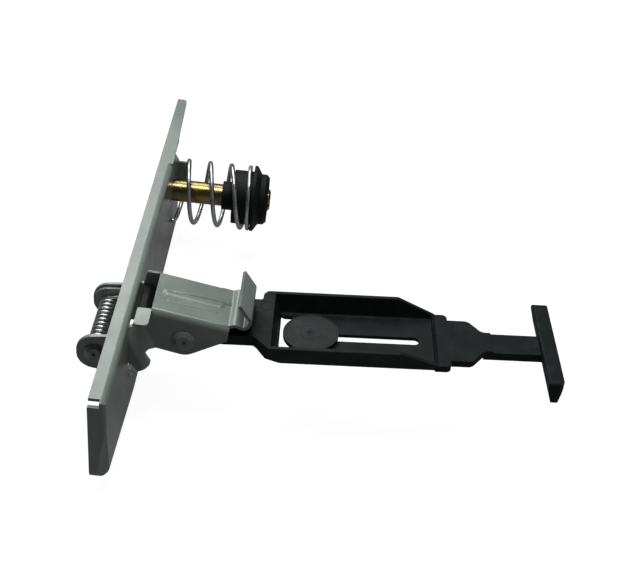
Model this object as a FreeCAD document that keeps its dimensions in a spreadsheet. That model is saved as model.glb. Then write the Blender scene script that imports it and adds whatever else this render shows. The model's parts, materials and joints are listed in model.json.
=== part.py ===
"""Hood latch: striker pin, sprung safety hook and pull handle on a pressed steel plate.

Frame: X points the way the striker pin points, Y runs along the plate and Z is up.
The origin is midway between the two bolt holes, on the plane that bolts to the hood.
"""
import FreeCAD, Part
import math
import os
import re
from types import SimpleNamespace
from FreeCAD import Placement, Rotation, Vector

DIMENSIONS = {
    # Pressed plate
    "sheet": 1.5,
    "flange_depth": 7.4,
    "plate_rise": 20.0,
    "plate_drop": 34.0,
    "near_drop": 24.0,
    "slope_run": 66.0,
    "facet_top": 12.0,
    "facet_depth": 4.4,
    "facet_run": 6.0,
    "bolt_spacing": 136.0,
    "near_overhang": 104.0,
    "far_overhang": 20.0,
    "bend_radius": 2.6,
    "corner_radius": 6.0,
    "strip_setback": 2.7,
    "web_past_striker": 21.5,
    "corner_cut_drop": 13.0,
    "ramp_run": 7.0,
    "pad_drop": 8.0,
    "strip_taper": 2.1,
    "strip_corner": 2.4,
    "bolt_hole": 9.0,
    "spacer_width": 16.0,
    "relief_gap": 1.0,
    "lip_height": 6.3,
    "lip_top": 6.0,
    "lip_length": 14.0,
    "window_top": 16.5,
    "window_bottom": 12.0,
    "window_corner": 0.8,
    # Hook pivot
    "hook_place": 100.3,
    "pivot_setback": 7.0,
    "pivot_rise": 3.0,
    "flare_reach": 21.4,
    "lug_radius": 8.0,
    "lug_root_rise": 14.0,
    "lug_root_drop": 8.0,
    "ear_clearance": 0.3,
    "ear_radius": 7.6,
    "pivot_diameter": 4.8,
    "pivot_clearance": 0.1,
    "pivot_head": 9.4,
    "pivot_head_height": 1.8,
    "pivot_crown": 6.6,
    "pivot_dimple": 2.0,
    # Hook
    "hook_width": 29.2,
    "hook_bend": 3.0,
    "hook_slope": 10.3,
    "web_start": 16.3,
    "web_start_rise": 23.6,
    "web_run": 34.2,
    "wing_run": 6.2,
    "wing_reach": 24.8,
    "wing_rise": 23.0,
    "wing_lap": 0.2,
    "wing_corner": 1.6,
    "ear_run": 6.0,
    "ear_step": 0.6,
    "neck_place": 2.0,
    "neck_round": 2.0,
    "crease_place": 17.6,
    "crease_run": 7.2,
    "crease_bend": 1.5,
    "crease_lean": 22.7,
    "tooth_place": 17.0,
    "tooth_notch": 2.9,
    "tooth_root": 3.8,
    "tooth_drop": 4.4,
    "tooth_toe": 5.3,
    "tooth_tip": 7.3,
    "tooth_back": 10.4,
    "back_drop": 0.6,
    "back_round": 4.0,
    "ear_foot": 15.0,
    "throat_back": 0.8,
    "throat_drop": 0.2,
    "throat_round": 1.6,
    "belly_place": 32.0,
    "belly_drop": 0.8,
    "belly_round": 8.0,
    "web_end_drop": 9.9,
    "web_end_lean": 0.6,
    "tongue_width": 26.0,
    "hump_run": 2.5,
    "hump_rise": 1.1,
    "tongue_run": 7.5,
    "tongue_drop": 0.8,
    "catch_out": 2.9,
    "catch_knee": 5.5,
    "catch_back": 6.0,
    "catch_rise": 8.7,
    "catch_bend": 1.5,
    "bead_radius": 4.0,
    "bead_height": 0.8,
    "bead_length": 24.0,
    "bead_start": 5.0,
    # Torsion spring
    "torsion_wire": 1.7,
    "torsion_diameter": 8.9,
    "torsion_turns": 11,
    "leg_inset": 3.35,
    "leg_hole_place": 4.6,
    "leg_hole_rise": 9.2,
    "leg_bend": 1.3,
    "leg_overhang": 2.6,
    # Striker
    "striker_place": 20.0,
    "striker_diameter": 12.0,
    "striker_length": 53.3,
    "striker_tail": 0.4,
    "striker_chamfer": 1.0,
    "thread_diameter": 10.0,
    "thread_clearance": 0.1,
    "nut_flats": 17.0,
    "nut_height": 5.2,
    "ring_groove_place": 49.6,
    "ring_thickness": 1.0,
    "ring_groove_depth": 1.0,
    "ring_diameter": 17.0,
    "ring_opening": 6.0,
    "ring_clearance": 0.6,
    "driver_slot": 1.8,
    "driver_slot_depth": 2.2,
    # Striker spring and its cup
    "coil_wire": 2.4,
    "coil_turns": 5.0,
    "coil_start_angle": 39.0,
    "cup_clearance": 0.15,
    "cup_start": 27.0,
    "sleeve_diameter": 15.6,
    "sleeve_length": 6.0,
    "drum_diameter": 29.5,
    "drum_length": 10.5,
    "rim_diameter": 36.0,
    "rim_length": 1.5,
    "rim_cone": 2.7,
    "nose_diameter": 27.6,
    "nose_length": 4.3,
    "nose_chamfer": 1.6,
    # Handle, in its own tilted frame
    "handle_tilt": 4.2,
    "rivet_reach": 22.4,
    "rivet_depth": 13.6,
    "rivet_diameter": 5.0,
    "rivet_head": 10.2,
    "rivet_head_height": 1.9,
    "rivet_crown": 6.2,
    "rivet_dimple": 2.6,
    "spacer_diameter": 8.0,
    "spacer_clearance": 0.15,
    "neck_clearance": 0.3,
    "neck_top": 10.9,
    "neck_thickness": 3.0,
    "rib_depth": 2.5,
    "rib_width": 1.8,
    "neck_start": 1.0,
    "heel_top": 4.2,
    "heel_run": 3.5,
    "heel_ramp": 4.5,
    "boss_diameter": 14.0,
    "deck_start": 53.0,
    "tray_start": 59.3,
    "tray_end": 136.0,
    "tray_width": 41.6,
    "tray_depth": 9.2,
    "tray_floor": 1.8,
    "tray_wall": 1.8,
    "wall_draft": 3.0,
    "corner_slant": 8.0,
    "corner_step": 2.6,
    "corner_round": 4.4,
    "deck_widening": 1.4,
    "under_slope_start": 1.5,
    "under_slope_end": 6.5,
    "wall_drop_start": 118.4,
    "opening_start": 64.1,
    "opening_run": 5.2,
    "opening_width": 25.4,
    "opening_shift": 1.2,
    "slot_width": 5.0,
    "slot_end": 128.0,
    "rear_top": 18.5,
    "rear_width": 28.8,
    "collar_run": 5.5,
    "collar_width": 36.8,
    "collar_corner": 2.5,
    "rear_end": 151.0,
    "stem_start": 157.0,
    "shoulder_round": 4.0,
    "stem_top": 19.3,
    "stem_width": 13.3,
    "stem_thickness": 4.2,
    "grip_start": 182.8,
    "grip_run": 7.2,
    "grip_toe": 2.6,
    "grip_top": 16.7,
    "grip_height": 11.6,
    "grip_shoulder": 3.2,
    "grip_edge": 0.8,
    "grip_width": 58.3,
    "grip_corner": 3.4,
    # Guide button
    "button_place": 78.3,
    "disc_diameter": 25.4,
    "disc_thickness": 2.1,
    "dimple_diameter": 3.2,
    "dimple_depth": 0.7,
    "button_clearance": 0.3,
    "foot_run": 8.6,
    "spigot_diameter": 4.6,
    "clip_diameter": 16.0,
    "clip_thickness": 2.0,
    "spigot_head": 6.4,
    "spigot_head_height": 1.2,
}
FACE_MARGIN = 1.0
doc = FreeCAD.newDocument("hood_latch")
sub_parts = []


def fill_spreadsheet():
    """Write the driving dimensions to a spreadsheet, one alias to a row, and read them back."""
    table = doc.addObject("Spreadsheet::Sheet", "Dimensions")
    for row, (alias, value) in enumerate(DIMENSIONS.items(), start=1):
        table.set(f"A{row}", alias)
        table.set(f"B{row}", str(value))
        table.setAlias(f"B{row}", alias)
    doc.recompute()
    return SimpleNamespace(**{alias: float(table.get(alias)) for alias in DIMENSIONS})


size = fill_spreadsheet()


def bind(feature, **formulas):
    """Bind properties to formulas whose words are spreadsheet aliases."""
    for name, formula in formulas.items():
        path = {"x": ".Placement.Base.x", "y": ".Placement.Base.y", "z": ".Placement.Base.z"}.get(name, name)
        text = re.sub(r"[a-z][a-z_]+", lambda word: f"Dimensions.{word.group()}", formula)
        feature.setExpression(path, text)
    return feature


def box(name, length, width, height, **corner):
    """A block, with its low corner placed by formulas."""
    return bind(doc.addObject("Part::Box", name), Length=length, Width=width, Height=height, **corner)


def cylinder(name, radius, height, axis, **base):
    """A cylinder along a unit axis, with the centre of its first face placed by formulas."""
    solid = doc.addObject("Part::Cylinder", name)
    solid.Placement = Placement(Vector(), Rotation(Vector(0, 0, 1), axis))
    return bind(solid, Radius=radius, Height=height, **base)


def cone(name, first, last, height, axis, **base):
    """A cone along a unit axis."""
    solid = doc.addObject("Part::Cone", name)
    solid.Placement = Placement(Vector(), Rotation(Vector(0, 0, 1), axis))
    return bind(solid, Radius1=first, Radius2=last, Height=height, **base)


def fuse(name, *shapes):
    """The union of several features."""
    union = doc.addObject("Part::MultiFuse", name)
    union.Shapes = list(shapes)
    return union


def common(name, *shapes):
    """What several features share."""
    shared = doc.addObject("Part::MultiCommon", name)
    shared.Shapes = list(shapes)
    return shared


def cut(name, base, *tools):
    """A feature less one or more tools."""
    result = doc.addObject("Part::Cut", name)
    result.Base = base
    result.Tool = tools[0] if len(tools) == 1 else fuse(name + "_tools", *tools)
    return result


def rounded(name, base, radius, chosen):
    """Fillet the edges for which chosen(edge) is true."""
    doc.recompute()
    numbers = [number for number, edge in enumerate(base.Shape.Edges, start=1) if chosen(edge)]
    fillet = doc.addObject("Part::Fillet", name)
    fillet.Base = base
    fillet.Edges = [(number, radius, radius) for number in numbers]
    return fillet


def runs_along(edge, axis):
    """Whether a straight edge runs along an axis."""
    if not isinstance(edge.Curve, Part.Line):
        return False
    return edge.tangentAt(edge.FirstParameter).cross(axis).Length < 1e-6


def outline(corners):
    """Lines and arcs round a polygon of (across, up, radius) corners."""
    points = [Vector(across, up, 0) for across, up, _ in corners]
    starts, ends, arcs = [], [], []
    for index, (_, _, radius) in enumerate(corners):
        point = points[index]
        before = (points[index - 1] - point).normalize()
        after = (points[(index + 1) % len(points)] - point).normalize()
        half = before.getAngle(after) / 2
        reach = radius / math.tan(half) if radius > 0 else 0.0
        starts.append(point + before * reach)
        ends.append(point + after * reach)
        if radius > 0:
            centre = point + (before + after).normalize() * (radius / math.sin(half))
            middle = centre + (point - centre).normalize() * radius
            arcs.append(Part.Arc(starts[-1], middle, ends[-1]))
        else:
            arcs.append(None)
    pieces = []
    for index, arc in enumerate(arcs):
        if arc is not None:
            pieces.append(arc)
        finish = starts[(index + 1) % len(arcs)]
        if (finish - ends[index]).Length > 1e-6:
            pieces.append(Part.LineSegment(ends[index], finish))
    return pieces


SIDE_VIEW = Rotation(Vector(1, 0, 0), 90)
PLAN_VIEW = Rotation()
END_VIEW = Rotation(Vector(0, 1, 0), Vector(0, 0, 1), Vector(1, 0, 0), "XYZ")


def sketch(name, pieces, rotation):
    """A sketch of lines and arcs, turned into the side, plan or end view."""
    drawing = doc.addObject("Sketcher::SketchObject", name + "_sketch")
    drawing.Placement = Placement(Vector(), rotation)
    drawing.addGeometry(pieces, False)
    return drawing


def extrusion(name, corners, rotation, direction, length, both_ways=False, **base):
    """A sketched outline pushed along a direction by a formula's length."""
    solid = doc.addObject("Part::Extrusion", name)
    solid.Base = sketch(name, outline(corners), rotation)
    solid.DirMode = "Custom"
    solid.Dir = direction
    solid.Solid = True
    solid.Symmetric = both_ways
    return bind(solid, LengthFwd=length, **base)


def turned(name, profile, axis_point, axis, rotation):
    """A closed (along, radius) profile turned about an axis."""
    solid = doc.addObject("Part::Revolution", name)
    solid.Source = sketch(name, outline([(along, radius, 0) for along, radius in profile]), rotation)
    solid.Base = axis_point
    solid.Axis = axis
    solid.Angle = 360
    solid.Solid = True
    return solid


def keep(feature, label, place=None):
    """Name a finished sub-part and put it in its place."""
    feature.Label = label
    if place is not None:
        feature.Placement = place
    sub_parts.append(feature)
    return feature


def strip_corners(path, thickness, radius):
    """Corners of a bent strip whose lower face follows path, bent with an inner radius."""
    lower, upper = [], []
    for index, point in enumerate(path):
        before = (point - path[index - 1]).normalize() if index else None
        after = (path[index + 1] - point).normalize() if index + 1 < len(path) else None
        before, after = before or after, after or before
        turn = before.x * after.y - before.y * after.x
        normal = Vector(-before.y - after.y, before.x + after.x, 0).normalize()
        reach = thickness / normal.dot(Vector(-before.y, before.x, 0))
        bent = 0 < index < len(path) - 1
        outer, inner = radius + thickness, radius
        lower.append((point.x, point.y, (outer if turn > 0 else inner) if bent else 0))
        far = point + normal * reach
        upper.append((far.x, far.y, (inner if turn > 0 else outer) if bent else 0))
    return lower + upper[::-1]


X, Y, Z = Vector(1, 0, 0), Vector(0, 1, 0), Vector(0, 0, 1)
NEAR_END = -size.bolt_spacing / 2 - size.near_overhang
FAR_END = size.bolt_spacing / 2 + size.far_overhang
WEB_END = size.striker_place + size.web_past_striker
HOOK_Y = -size.hook_place
NEAR_LUG = HOOK_Y - size.flare_reach
FAR_LUG = HOOK_Y + size.hook_width / 2 + size.ear_clearance
LUG_GAP = FAR_LUG - NEAR_LUG
LEG_REACH = LUG_GAP / 2 - size.leg_inset
PIVOT = Vector(-size.pivot_setback, (NEAR_LUG + FAR_LUG) / 2, size.pivot_rise)
LEG_END = Vector(size.leg_hole_place, 0, size.leg_hole_rise)
NECK_WIDTH = size.hook_width - 2 * (size.sheet + size.neck_clearance)
HANDLE_TURN = Rotation(Y, -size.handle_tilt)
HANDLE = Placement(Vector(size.flange_depth, HOOK_Y, size.plate_rise), HANDLE_TURN)
RIVET = Vector(size.rivet_reach, 0, -size.rivet_depth)
EAR_ROUND = 0.98


def ramp_cutters(name, setback):
    """What lies above the joggle that drops the web to the far pad, from its end and its cut corner."""
    front = size.flange_depth
    slope = math.atan2(front - size.sheet, size.ramp_run)
    inward = setback * math.tan(slope / 2)
    corner_turn = math.degrees(math.atan2(size.web_past_striker, size.corner_cut_drop))
    section = [(front - setback + FACE_MARGIN, 0, 0), (front - setback + FACE_MARGIN, FAR_END, 0),
               (size.sheet - setback, FAR_END, 0), (size.sheet - setback, size.ramp_run, 0),
               (front - setback, 0, 0)]
    cutters = []
    for part, turn, start in (("end", 0.0, Vector(0, WEB_END, 0)),
                              ("corner", corner_turn, Vector(0, size.striker_place, size.plate_rise))):
        wedge = extrusion(f"{name}_{part}", section, PLAN_VIEW, Z, "4 * bolt_spacing", both_ways=True)
        tilt = Rotation(X, turn)
        wedge.Placement = Placement(start - tilt.multVec(Y) * inward, tilt)
        cutters.append(wedge)
    return cutters


def inset(corners, distance):
    """A convex polygon of (across, up, radius) corners with each side moved inward."""
    moved = []
    for index, (across, up, radius) in enumerate(corners):
        point = Vector(across, up, 0)
        before = (point - Vector(*corners[index - 1][:2], 0)).normalize()
        after = (Vector(*corners[(index + 1) % len(corners)][:2], 0) - point).normalize()
        bisector = (after - before).normalize()
        place = point + bisector * (distance / abs(before.cross(bisector).z))
        moved.append((place.x, place.y, max(radius - distance, 0)))
    return moved


def facet_cutter(name, setback):
    """What lies beyond the slanted facet between the plate's near end and its web."""
    top = Vector(size.flange_depth, NEAR_END, size.facet_top)
    inner = Vector(size.flange_depth - size.facet_depth, NEAR_END, -size.near_drop)
    front = Vector(size.flange_depth, NEAR_END + size.facet_run, -size.near_drop)
    outward = (inner - top).cross(front - top).normalize()
    span = size.plate_rise + size.plate_drop
    block = doc.addObject("Part::Box", name)
    block.Length, block.Width, block.Height = 4 * span, 4 * span, span
    turn = Rotation(Z, outward)
    block.Placement = Placement(top - outward * setback - turn.multVec(Vector(2 * span, 2 * span, 0)), turn)
    return block


def plate_form(name, setback):
    """The plate's outer form, or with a setback the hollow behind its sheet."""
    face = [(NEAR_END, size.plate_rise, 0), (NEAR_END, -size.near_drop, size.corner_radius),
            (NEAR_END + size.slope_run, -size.plate_drop, 0), (FAR_END, -size.plate_drop, 0),
            (FAR_END, size.plate_rise, 0)]
    corners = inset(face, setback) if setback else face
    start = FACE_MARGIN if setback else 0.0
    block = extrusion(name, corners, END_VIEW, X, f"flange_depth - {setback} + {start}", x=f"-{start}")
    front = size.flange_depth - setback

    def on_front(edge):
        before_end = edge.CenterOfMass.y < FAR_END - size.far_overhang / 4
        return edge.BoundBox.XMin > front - FACE_MARGIN / 2 and before_end

    bends = rounded(name + "_bends", block, size.bend_radius - setback, on_front)
    return cut(name + "_faceted", bends, facet_cutter(name + "_facet", setback))


def mounting_plate():
    """Pressed channel with a hook window, pivot lugs, bolt holes and a joggled far arm."""
    forms = [cut(f"{name}_ramped", plate_form(name, setback), *ramp_cutters(f"{name}_ramp", setback))
             for name, setback in (("plate_form", 0.0), ("plate_hollow", size.sheet))]
    shell = cut("plate_shell", *forms)
    strip_start = size.striker_place - size.corner_radius
    strip = extrusion("plate_strip", [(0, strip_start, 0), (size.flange_depth, strip_start, 0),
                                      (size.flange_depth, size.striker_place, 0),
                                      (size.flange_depth - size.strip_taper, FAR_END, size.strip_corner),
                                      (0, FAR_END, 0)],
                      PLAN_VIEW, Z, "sheet", z="plate_rise - sheet")
    lip = box("plate_lip", "lip_height + sheet", "sheet", "lip_length",
              x="flange_depth - sheet", y=f"{WEB_END - size.sheet}", z="lip_top - lip_length")
    arm_clear = box("arm_clear", "flange_depth + 2", "2 * far_overhang + bolt_spacing", "plate_drop",
                    x="-1", y=f"{WEB_END + size.ramp_run}", z="-pad_drop - plate_drop")
    relief = box("relief", "flange_depth - bend_radius + 1", "strip_setback + 1", "sheet + relief_gap + 1",
                 x="-1", y=f"{NEAR_END - 1}", z="plate_rise - sheet - relief_gap")
    window = box("window", "flange_depth + 4", f"{LUG_GAP}", "window_top + window_bottom",
                 x="-2", y=f"{NEAR_LUG}", z="-window_bottom")
    window_cut = rounded("window_rounded", window, size.window_corner, lambda edge: runs_along(edge, X))
    holes = [cylinder(f"bolt_hole_{side}", "bolt_hole / 2", "flange_depth + 4", X, x="-2", y=place)
             for side, place in (("near", "-bolt_spacing / 2"), ("far", "bolt_spacing / 2"))]
    thread_hole = cylinder("thread_hole", "thread_diameter / 2 + thread_clearance", "flange_depth + 4", X,
                           x="-2", y="striker_place")
    whole = fuse("plate_whole", shell, strip, lip)
    body = cut("plate_pierced", whole, arm_clear, relief, window_cut, thread_hole, *holes)
    lugs = [pivot_lug("near", NEAR_LUG - size.sheet), pivot_lug("far", FAR_LUG)]
    keep(fuse("plate_fused", body, *lugs), "mounting_plate")


def mount_spacer():
    """Tube behind the web at the near bolt hole, flush with the face that bolts down."""
    tube = cylinder("mount_tube", "spacer_width / 2", "flange_depth - sheet", X, y="-bolt_spacing / 2")
    bore = cylinder("mount_bore", "bolt_hole / 2", "flange_depth + 2", X, x="-1", y="-bolt_spacing / 2")
    keep(cut("mount_tube_bored", tube, bore), "mount_spacer")


def pivot_lug(side, start):
    """One ear bent back from the window's edge, with the pivot hole."""
    radius, root = size.lug_radius, size.flange_depth - size.sheet / 2
    blank = extrusion(f"lug_{side}", [(root, size.lug_root_rise, 0),
                                      (PIVOT.x - radius, PIVOT.z + radius, radius * EAR_ROUND),
                                      (PIVOT.x - radius, PIVOT.z - radius, radius * EAR_ROUND),
                                      (root, -size.lug_root_drop, 0)],
                      SIDE_VIEW, Y, "sheet", y=f"{start}")
    hole = cylinder(f"lug_hole_{side}", "pivot_diameter / 2 + pivot_clearance", "sheet + 2", Y,
                    x="-pivot_setback", y=f"{start - 1}", z="pivot_rise")
    return cut(f"lug_pierced_{side}", blank, hole)


def web_height(along):
    """Height of the hook web's top face."""
    return size.web_start_rise - (along - size.web_start) * math.tan(math.radians(size.hook_slope))


def flange_outline():
    """Side view of the hook's flanges, from the ear over the top to the web's end and back by the tooth."""
    web_end = size.web_start + size.web_run
    wing_start = size.web_start - size.wing_run
    shelf = size.wing_rise - size.wing_lap
    ear = size.ear_radius
    top = size.window_top - size.ear_clearance
    tooth = size.tooth_place
    ear_side = [(PIVOT.x - ear, PIVOT.z - ear, ear * EAR_ROUND),
                (PIVOT.x - ear, PIVOT.z + ear, ear * EAR_ROUND)]
    top_side = [(PIVOT.x + size.ear_run, PIVOT.z + ear + size.ear_step, size.hook_bend),
                (size.neck_place, top, size.neck_round), (wing_start - size.sheet, top, size.wing_lap),
                (wing_start, shelf, 0), (size.web_start, shelf, 0),
                (size.web_start, web_height(size.web_start), 0),
                (web_end, web_height(web_end), 0)]
    belly = [(web_end - size.web_end_lean, size.web_end_drop, size.sheet),
             (size.belly_place, -size.belly_drop, size.belly_round),
             (tooth - size.throat_back, size.tooth_notch - size.throat_drop, size.sheet / 2),
             (tooth - size.tooth_root, size.tooth_notch, size.throat_round)]
    hooked = [(tooth, -size.tooth_drop, size.tooth_drop / 4),
              (tooth - size.tooth_toe, -size.tooth_tip, size.sheet / 2),
              (tooth - size.tooth_back, -size.back_drop, size.back_round),
              (tooth - size.ear_foot, PIVOT.z - ear, size.back_round)]
    return ear_side + top_side + belly + hooked


def hook_lever():
    """Safety hook: a pressed channel with flared pivot ears, stop wings and a folded catch."""
    half = size.hook_width / 2
    deep = 2 * size.plate_rise
    channel = [(-half, 0, size.hook_bend), (half, 0, size.hook_bend), (half, -deep, 0),
               (half - size.sheet, -deep, 0), (half - size.sheet, -size.sheet, size.hook_bend - size.sheet),
               (size.sheet - half, -size.sheet, size.hook_bend - size.sheet), (size.sheet - half, -deep, 0),
               (-half, -deep, 0)]
    section = extrusion("hook_channel", channel, END_VIEW, X, "2 * web_run")
    start = Vector(size.web_start, HOOK_Y, size.web_start_rise)
    section.Placement = Placement(start, Rotation(Y, size.hook_slope))
    side = extrusion("hook_side", flange_outline(), SIDE_VIEW, Y, "4 * hook_width", both_ways=True,
                     y=f"{HOOK_Y}")
    right = common("hook_right", section, side)
    left = common("hook_left", fuse("hook_ears", flared_flange(), straight_flange()), side)
    body = fuse("hook_body", right, left, catch_strip(), hook_wing(), *bead("outer", 0.0))
    holes = [cylinder("ear_hole", "pivot_diameter / 2 + pivot_clearance", "4 * hook_width", Y,
                      x="-pivot_setback", y=f"{HOOK_Y - 2 * size.hook_width}", z="pivot_rise"),
             handle_axis_cylinder("hook_rivet_hole", "rivet_diameter / 2 + pivot_clearance",
                                  "2 * hook_width", -size.hook_width)]
    leg_hole = cylinder("leg_hole", "torsion_wire / 2 + 0.2", "4 * sheet", Y, x="leg_hole_place",
                        y=f"{FAR_LUG - 3 * size.sheet}", z="leg_hole_rise")
    keep(cut("hook_pierced", body, *holes, leg_hole, *bead("inner", size.sheet)), "hook_lever")


def flange_strip(name, path):
    """A flange seen from above, leaning with the crease."""
    lean = Rotation(Y, -size.crease_lean).multVec(Z)
    corners = strip_corners(path, size.sheet, size.crease_bend)
    return extrusion(name, corners, PLAN_VIEW, lean, "4 * plate_drop", both_ways=True,
                     y=f"{HOOK_Y}", z="pivot_rise")


def flared_flange():
    """The near flange, which steps out from the channel to its pivot ear along a slanted crease."""
    inner = size.hook_width / 2 - size.sheet
    outer = size.flare_reach - size.ear_clearance - size.sheet
    crease, step = size.crease_place, size.crease_run
    return flange_strip("near_flare", [Vector(crease + step, -inner, 0), Vector(crease, -inner, 0),
                                       Vector(crease - step, -outer, 0),
                                       Vector(PIVOT.x - 2 * size.ear_radius, -outer, 0)])


def straight_flange():
    """The far flange, which runs straight back to its pivot ear."""
    inner = size.hook_width / 2 - size.sheet
    return flange_strip("far_flange", [Vector(PIVOT.x - 2 * size.ear_radius, inner, 0),
                                       Vector(size.crease_place + size.crease_run, inner, 0)])


def hook_wing():
    """A stop tab folded outward from the top of the near flange."""
    inner = size.hook_width / 2 - size.sheet
    wing = box("wing", "wing_run", f"wing_reach - {inner}", "sheet", x="web_start - wing_run",
               y=f"{HOOK_Y} - wing_reach", z="wing_rise - sheet")
    return rounded("wing_round", wing, size.wing_corner,
                   lambda edge: runs_along(edge, Z) and edge.CenterOfMass.y < HOOK_Y - inner - size.sheet)


def catch_strip():
    """The tongue past the web, with its small hump, and the flap folded back over it."""
    tilt = math.radians(size.hook_slope)
    web_end = size.web_start + size.web_run
    down = Vector(math.sin(tilt), math.cos(tilt), 0) * -size.sheet
    lap = web_end - 4 * size.sheet
    root = Vector(lap, web_height(lap), 0)
    edge = Vector(web_end, web_height(web_end), 0)
    hump = edge + Vector(size.hump_run, size.hump_rise, 0)
    tongue = edge + Vector(size.tongue_run, -size.tongue_drop, 0)
    knee = tongue + Vector(size.catch_out, size.catch_knee, 0)
    tip = knee + Vector(-size.catch_back, size.catch_rise, 0)
    path = [point + down for point in (root, edge, hump, tongue, knee, tip)]
    corners = strip_corners(path, size.sheet, size.catch_bend)
    return extrusion("catch_flat", corners, SIDE_VIEW, Y, "tongue_width", both_ways=True, y=f"{HOOK_Y}")


def bead(name, setback):
    """The pressed stiffening bead along the hook's web, or with a setback its hollow."""
    turn = Rotation(Y, size.hook_slope)
    centre_depth = size.bead_radius - size.bead_height
    start = size.web_start + size.bead_start
    root = Vector(start, HOOK_Y, web_height(start)) - turn.multVec(Vector(0, 0, centre_depth))
    radius = size.bead_radius - setback
    rod = doc.addObject("Part::Cylinder", f"bead_{name}")
    bind(rod, Radius=f"bead_radius - {setback}", Height="bead_length")
    rod.Placement = Placement(root, turn.multiply(Rotation(Z, X)))
    ends = []
    for index, along in enumerate((0.0, size.bead_length)):
        ball = doc.addObject("Part::Sphere", f"bead_{name}_{index}")
        ball.Radius = radius
        ball.Placement = Placement(root + turn.multVec(Vector(along, 0, 0)), turn)
        ends.append(ball)
    whole = fuse(f"bead_{name}_whole", rod, *ends)
    if setback:
        return [whole]
    roof = doc.addObject("Part::Box", "bead_roof")
    roof.Length, roof.Width, roof.Height = size.bead_length + 4 * radius, 4 * radius, 2 * radius
    corner = turn.multVec(Vector(-2 * radius, -2 * radius, centre_depth - size.sheet / 2))
    roof.Placement = Placement(root + corner, turn)
    return [common("bead_cap", whole, roof)]


def handle_axis_cylinder(name, radius, length, start):
    """A cylinder on the handle's rivet axis, in the part's frame."""
    solid = doc.addObject("Part::Cylinder", name)
    bind(solid, Radius=radius, Height=length)
    centre = HANDLE.multVec(RIVET + Vector(0, start, 0))
    solid.Placement = Placement(centre, Rotation(Z, Y))
    return solid


def rivet(name, half, diameter, head, rise, crown, dimple):
    """A pin along Y with a crowned and dimpled head at each end."""
    end = [(half, diameter / 2), (half, head / 2), (half + rise / 2, head / 2), (half + rise, crown / 2),
           (half + rise, dimple / 2), (half + rise / 2, 0)]
    profile = [(-along, across) for along, across in reversed(end)] + end
    return turned(name, profile, Vector(), Y, Rotation(Y, X, Vector(), "XYZ"))


def pivot_pin():
    """Pin through both lugs and ears, on which the hook swings."""
    pin = rivet("pin_turned", LUG_GAP / 2 + size.sheet, size.pivot_diameter, size.pivot_head,
                size.pivot_head_height, size.pivot_crown, size.pivot_dimple)
    keep(pin, "pivot_pin", Placement(PIVOT, Rotation()))


def sweep_wire(label, wire, radius):
    """A round wire swept along a path of tangent pieces."""
    start = wire.Edges[0]
    tangent = start.tangentAt(start.FirstParameter)
    circle = Part.Wire(Part.makeCircle(radius, start.valueAt(start.FirstParameter), tangent))
    maker = Part.BRepOffsetAPI.MakePipeShell(wire)
    maker.setFrenetMode(True)
    maker.add(circle)
    maker.build()
    maker.makeSolid()
    feature = doc.addObject("Part::Feature", label + "_wire")
    feature.Shape = maker.shape()
    return feature


def coil_curve(radius, turns, height_at, first_angle):
    """Spline through points on a helix whose height is a function of the turn, level at both ends."""
    steps = int(round(turns * 20))
    points = []
    for step in range(steps + 1):
        turn = turns * step / steps
        angle = first_angle + 2 * math.pi * turn
        points.append(Vector(radius * math.cos(angle), radius * math.sin(angle), height_at(turn)))
    ends = [Vector(-math.sin(angle), math.cos(angle), 0)
            for angle in (first_angle, first_angle + 2 * math.pi * turns)]
    curve = Part.BSplineCurve()
    curve.interpolate(Points=points, InitialTangent=ends[0], FinalTangent=ends[1], Scale=False)
    return curve


def leg_bearing(target, radius, side):
    """Angle, in the side view, of a wire that leaves a coil of this radius and meets target."""
    return math.atan2(target.z, target.x) + side * math.asin(radius / math.hypot(target.x, target.z))


def torsion_spring():
    """Coil on the hook's pin, one leg over the window's lower edge and one hooked into the far ear."""
    radius = (size.torsion_diameter - size.torsion_wire) / 2
    axis = Vector(PIVOT.x, 0, PIVOT.z)
    seat = Vector(size.flange_depth, 0, size.torsion_wire * 0.75 - size.window_bottom) - axis
    hole = LEG_END - axis
    near = leg_bearing(seat, radius, 1)
    far = leg_bearing(hole, radius, -1)
    first = math.atan2(math.cos(near), math.sin(near))
    last = math.atan2(-math.cos(far), -math.sin(far))
    turns = size.torsion_turns + ((last - first) / (2 * math.pi)) % 1
    ease = 0.5
    pitch = 2 * LEG_REACH / (turns - ease)

    def height(turn):
        mirrored = min(turn, turns - turn)
        rise = pitch * mirrored ** 2 / (2 * ease) if mirrored < ease else pitch * (mirrored - ease / 2)
        return rise - LEG_REACH if turn < turns / 2 else LEG_REACH - rise

    coil = coil_curve(radius, turns, height, first).toShape()
    near_way = Vector(math.cos(near), -math.sin(near), 0)
    far_way = Vector(math.cos(far), -math.sin(far), 0)
    near_point = coil.valueAt(coil.FirstParameter)
    far_point = coil.valueAt(coil.LastParameter)
    bend = size.leg_bend
    near_length = math.sqrt(seat.Length ** 2 - radius ** 2) + size.leg_overhang
    far_length = math.sqrt(hole.Length ** 2 - radius ** 2) - bend
    knee = far_point + far_way * far_length
    turned_up = knee + far_way * bend + Vector(0, 0, bend)
    middle = knee + Vector(0, 0, bend) + (far_way - Vector(0, 0, 1)) * (bend / math.sqrt(2))
    reach = size.leg_inset - size.ear_clearance - bend
    path = [Part.LineSegment(near_point + near_way * near_length, near_point).toShape(), coil,
            Part.LineSegment(far_point, knee).toShape(), Part.Arc(knee, middle, turned_up).toShape(),
            Part.LineSegment(turned_up, turned_up + Vector(0, 0, reach)).toShape()]
    spring = sweep_wire("torsion_spring", Part.Wire(path), size.torsion_wire / 2)
    keep(spring, "torsion_spring", Placement(PIVOT, Rotation(Z, Y)))


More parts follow.
